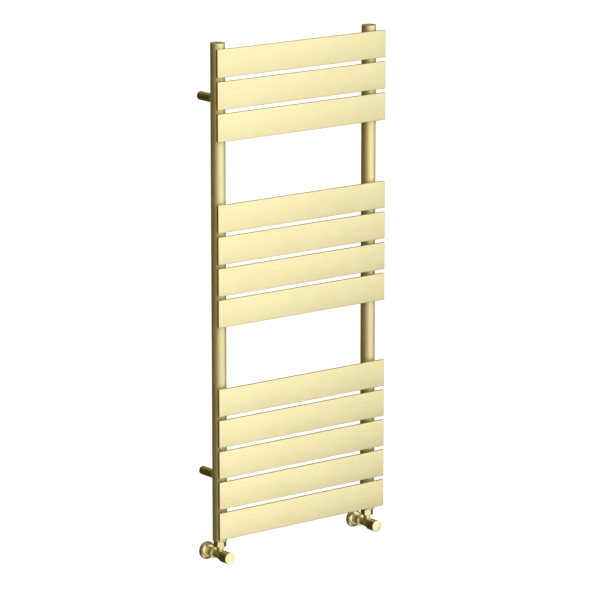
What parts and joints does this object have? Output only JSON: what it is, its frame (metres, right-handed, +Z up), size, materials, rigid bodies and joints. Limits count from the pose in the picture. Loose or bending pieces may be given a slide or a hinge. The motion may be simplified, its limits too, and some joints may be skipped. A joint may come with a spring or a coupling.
{
  "type": "towel warmer rack",
  "caption": "Wall-hung hot-water towel warmer: flat horizontal bars in three groups on two round upright collectors, with round brackets and angled valves below.",
  "frame": {"origin": "in the wall plane, midway between the four wall fixings", "axes": "+X to the right as seen from the room, +Y into the wall, +Z up"},
  "size_m": [0.5, 0.108, 1.2588],
  "materials": {
    "brushed_gold_steel": "satin brushed brass-coloured coating, grain along each bar",
    "brushed_gold_bracket": "satin brushed brass-coloured coating",
    "brushed_gold_brass": "satin brushed, lacquered",
    "plug_brass": "satin",
    "raw_brass": "machined, uncoated",
    "weld_steel": "machined",
    "plain_steel": "zinc plated",
    "black_rubber": "matt"
  },
  "bodies": {
    "wall_brackets": {"upper_left_bracket_sleeve": "brushed_gold_bracket", "upper_right_bracket_sleeve": "brushed_gold_bracket", "lower_left_bracket_sleeve": "brushed_gold_bracket", "lower_right_bracket_sleeve": "brushed_gold_bracket", "bracket_wall_bases": "plain_steel", "base_grub_screws": "plain_steel", "rail_grub_screws": "plain_steel"},
    "rail": {"bar_01": "brushed_gold_steel", "bar_02": "brushed_gold_steel", "bar_03": "brushed_gold_steel", "bar_04": "brushed_gold_steel", "bar_05": "brushed_gold_steel", "bar_06": "brushed_gold_steel", "bar_07": "brushed_gold_steel", "bar_08": "brushed_gold_steel", "bar_09": "brushed_gold_steel", "bar_10": "brushed_gold_steel", "bar_11": "brushed_gold_steel", "bar_12": "brushed_gold_steel", "left_collector": "brushed_gold_steel", "right_collector": "brushed_gold_steel", "left_bar_necks": "brushed_gold_steel", "right_bar_necks": "brushed_gold_steel", "collector_top_bushes": "weld_steel", "collector_bottom_bushes": "weld_steel", "blanking_plug": "plug_brass", "vent_plug": "plug_brass", "top_plug_seals": "black_rubber", "bracket_bosses": "brushed_gold_steel", "left_valve_body": "brushed_gold_brass", "left_union_nut": "brushed_gold_brass", "left_union_tail": "raw_brass", "left_union_seal": "black_rubber", "left_headwork": "raw_brass", "left_spindle_seal": "black_rubber", "left_compression_nut": "brushed_gold_brass", "left_olive": "raw_brass", "right_valve_body": "brushed_gold_brass", "right_union_nut": "brushed_gold_brass", "right_union_tail": "raw_brass", "right_union_seal": "black_rubber", "right_headwork": "raw_brass", "right_spindle_seal": "black_rubber", "right_compression_nut": "brushed_gold_brass", "right_olive": "raw_brass"},
    "bleed_screw_body": {"bleed_screw": "plug_brass"},
    "left_head": {"left_handle": "brushed_gold_brass", "left_handle_screw": "plain_steel", "left_spindle": "raw_brass"},
    "left_shutter": {"left_obturator": "raw_brass", "left_obturator_washer": "black_rubber"},
    "right_cap": {"right_lockshield_cap": "brushed_gold_brass"},
    "right_stem": {"right_spindle": "raw_brass"},
    "right_shutter": {"right_obturator": "raw_brass", "right_obturator_washer": "black_rubber"},
    "left_cover": {"left_pipe_cover": "brushed_gold_brass"},
    "right_cover": {"right_pipe_cover": "brushed_gold_brass"}
  },
  "joints": [
    {"name": "rail_standoff", "type": "slide", "parent": "wall_brackets", "child": "rail", "axis": [0, -1, 0], "range_m": [0, 0.01]},
    {"name": "bleed_screw_turn", "type": "hinge", "parent": "rail", "child": "bleed_screw_body", "pos_m": [0.225, -0.068, 0.587], "axis": [0, 0, 1], "range_deg": [0, 180]},
    {"name": "left_handle_turn", "type": "hinge", "parent": "rail", "child": "left_head", "pos_m": [-0.225, -0.068, -0.65], "axis": [0, -1, 0], "range_deg": [0, 900]},
    {"name": "left_shutter_lift", "type": "slide", "parent": "rail", "child": "left_shutter", "axis": [0, -1, 0], "range_m": [0, 0.003]},
    {"name": "right_cap_pull", "type": "slide", "parent": "rail", "child": "right_cap", "axis": [0, -1, 0], "range_m": [0, 0.03]},
    {"name": "right_stem_turn", "type": "hinge", "parent": "rail", "child": "right_stem", "pos_m": [0.225, -0.068, -0.65], "axis": [0, -1, 0], "range_deg": [0, 900]},
    {"name": "right_shutter_lift", "type": "slide", "parent": "rail", "child": "right_shutter", "axis": [0, -1, 0], "range_m": [0, 0.003]},
    {"name": "left_cover_slide", "type": "slide", "parent": "rail", "child": "left_cover", "axis": [0, 1, 0], "range_m": [0, 0.0127]},
    {"name": "right_cover_slide", "type": "slide", "parent": "rail", "child": "right_cover", "axis": [0, 1, 0], "range_m": [0, 0.0127]}
  ],
  "couplings": [
    {"joint": "left_shutter_lift", "follows": "left_handle_turn", "m_per_rad": 0.00019098},
    {"joint": "right_shutter_lift", "follows": "right_stem_turn", "m_per_rad": 0.00019098}
  ]
}
